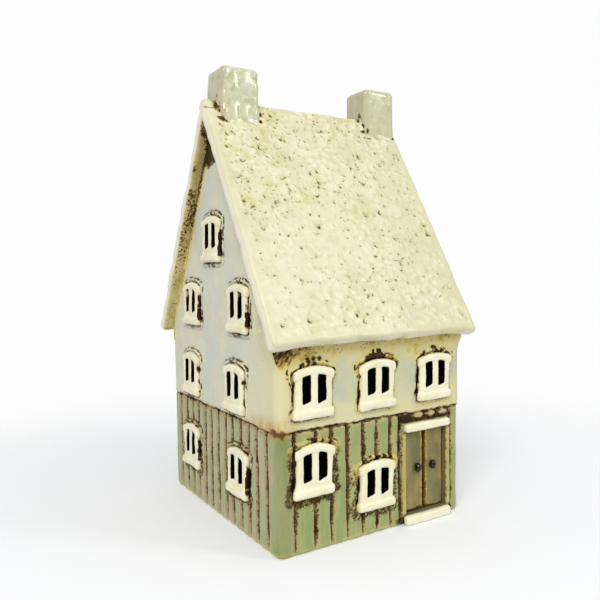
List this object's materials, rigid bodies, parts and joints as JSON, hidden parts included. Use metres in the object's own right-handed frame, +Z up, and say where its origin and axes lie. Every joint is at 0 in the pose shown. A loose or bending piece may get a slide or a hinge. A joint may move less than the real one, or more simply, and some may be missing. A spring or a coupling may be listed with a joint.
{
  "type": "ceramic tealight house",
  "caption": "Slab-built glazed ceramic house with a steep roof, chimneys, pierced windows and a planked lower storey; an arch at the back takes a removable tealight.",
  "frame": {"origin": "centre of the bounding box on the table, under the middle of the house", "axes": "+Z up, -Y out of the front door, +Y out of the tealight arch, +X to the right seen from the front, along the ridge"},
  "size_m": [0.0972, 0.1112, 0.1848],
  "materials": {
    "wall_glaze": "glossy glaze, sage green planks below and pale blue-grey above, with brown oxide in the scored lines",
    "roof_glaze": "glossy cream-white glaze over pitted clay",
    "chimney_glaze": "very glossy pale celadon glaze over wrinkled clay",
    "frame_glaze": "glossy cream-white glaze",
    "fillet_glaze": "glossy glaze stained yellow-brown with oxide",
    "door_leaf_glaze": "satin grey-brown glaze",
    "door_jamb_glaze": "satin yellow-green glaze",
    "knob_glaze": "glossy dark brown glaze",
    "bare_clay": "matt unglazed stoneware",
    "cup_metal": "thin bright pressed sheet",
    "wax": "white paraffin wax, slightly translucent",
    "wick_cotton": "waxed braided cotton"
  },
  "bodies": {
    "house": {"floor_slab": "bare_clay", "front_wall": "wall_glaze", "rear_wall": "wall_glaze", "left_gable_wall": "wall_glaze", "right_gable_wall": "wall_glaze", "front_roof_slab": "roof_glaze", "rear_roof_slab": "roof_glaze", "front_eave_fillet": "fillet_glaze", "rear_eave_fillet": "fillet_glaze", "left_chimney": "chimney_glaze", "right_chimney": "chimney_glaze", "front_window_upper_left": "frame_glaze", "front_window_upper_middle": "frame_glaze", "front_window_upper_right": "frame_glaze", "front_window_lower_left": "frame_glaze", "front_window_lower_middle": "frame_glaze", "left_gable_window_lower_front": "frame_glaze", "left_gable_window_lower_rear": "frame_glaze", "left_gable_window_middle_front": "frame_glaze", "left_gable_window_middle_rear": "frame_glaze", "left_gable_window_upper_front": "frame_glaze", "left_gable_window_upper_rear": "frame_glaze", "left_gable_window_attic": "frame_glaze", "right_gable_window_lower_front": "frame_glaze", "right_gable_window_lower_rear": "frame_glaze", "right_gable_window_middle_front": "frame_glaze", "right_gable_window_middle_rear": "frame_glaze", "right_gable_window_upper_front": "frame_glaze", "right_gable_window_upper_rear": "frame_glaze", "right_gable_window_attic": "frame_glaze", "left_door_leaf": "door_leaf_glaze", "right_door_leaf": "door_leaf_glaze", "left_door_knob": "knob_glaze", "right_door_knob": "knob_glaze", "left_door_jamb": "door_jamb_glaze", "right_door_jamb": "door_jamb_glaze", "door_lintel": "frame_glaze", "door_step": "frame_glaze"},
    "tealight": {"tealight_cup": "cup_metal", "tealight_wax": "wax", "tealight_wick": "wick_cotton", "tealight_wick_tab": "cup_metal"}
  },
  "joints": [
    {"name": "tealight_slide", "type": "slide", "parent": "house", "child": "tealight", "axis": [0, 1, 0], "range_m": [0, 0.085]}
  ]
}
